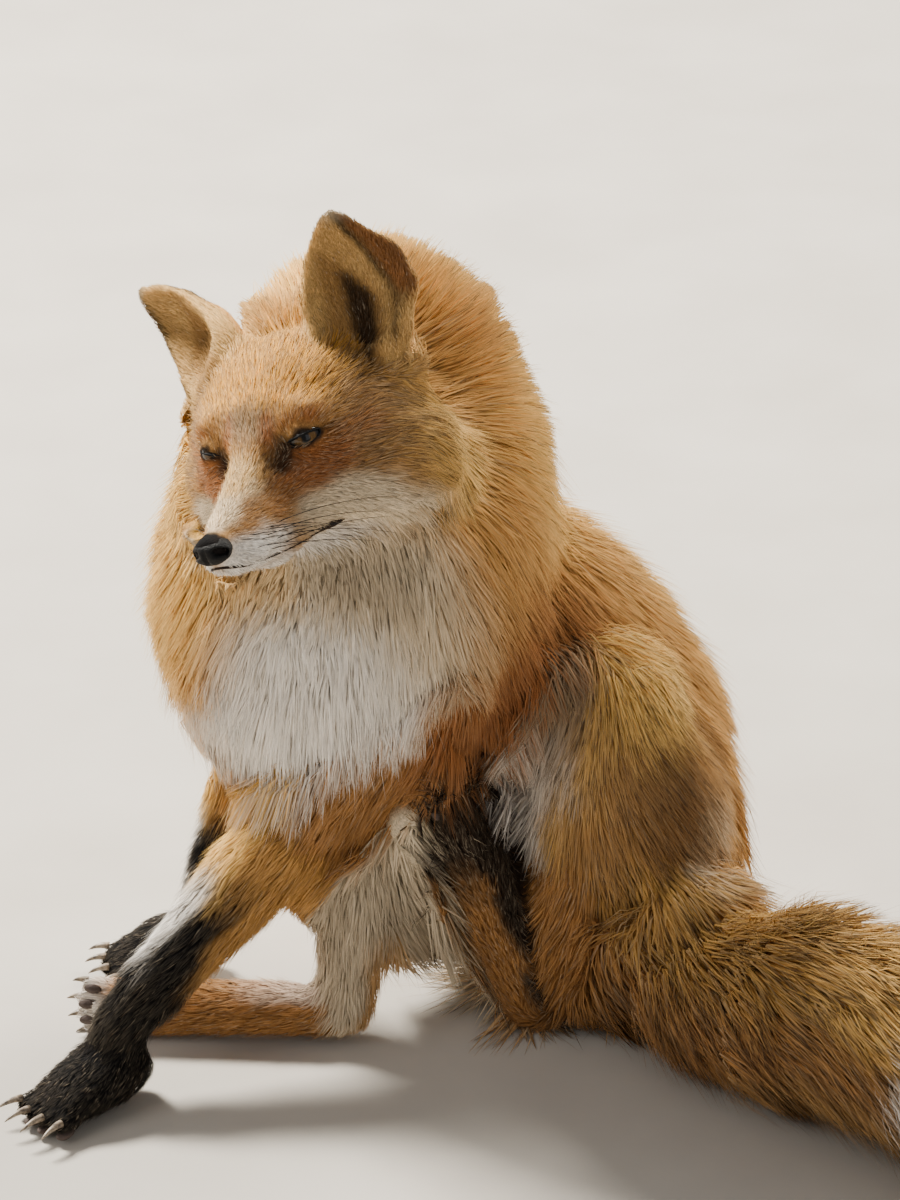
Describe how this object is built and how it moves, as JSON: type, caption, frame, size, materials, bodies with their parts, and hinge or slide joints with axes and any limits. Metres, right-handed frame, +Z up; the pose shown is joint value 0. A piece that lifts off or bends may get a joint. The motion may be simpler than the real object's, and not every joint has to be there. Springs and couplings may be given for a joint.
{
  "type": "red fox",
  "caption": "Life-size red fox in winter coat, sitting on its right haunch with a hind foot lifted to scratch and its brush laid round in front.",
  "frame": {"origin": "middle of the seat, the flat under the rump that rests on the ground", "axes": "+Z up, -Y the way the chest faces, +X towards the fox's left, where the tail lies"},
  "size_m": [0.5377, 0.4187, 0.461],
  "materials": {
    "coat_rufous": "long soft winter fur, rufous orange",
    "coat_cream": "long soft winter fur, cream white",
    "coat_tawny": "dense brush fur, tawny brown with dark grizzle",
    "coat_black": "short close fur, black",
    "nose": "moist, pebbled black",
    "eye": "polished, amber-brown"
  },
  "bodies": {
    "root": {"head": "coat_rufous", "nose": "nose", "eye_left": "eye", "eye_right": "eye", "ear_left": "coat_rufous", "ear_right": "coat_rufous", "neck": "coat_rufous", "chest": "coat_cream", "loin": "coat_rufous", "rump": "coat_rufous", "forepaw_left": "coat_black", "forepaw_right": "coat_black", "hind_foot_left": "coat_tawny", "hind_foot_right": "coat_tawny", "lower_foreleg_left": "coat_black", "lower_foreleg_right": "coat_black", "upper_foreleg_left": "coat_rufous", "upper_foreleg_right": "coat_rufous", "shank_left": "coat_rufous", "shank_right": "coat_cream", "thigh_left": "coat_rufous", "thigh_right": "coat_cream", "tail_base": "coat_tawny", "tail_middle": "coat_tawny", "tail_tip": "coat_cream"}
  },
  "joints": []
}
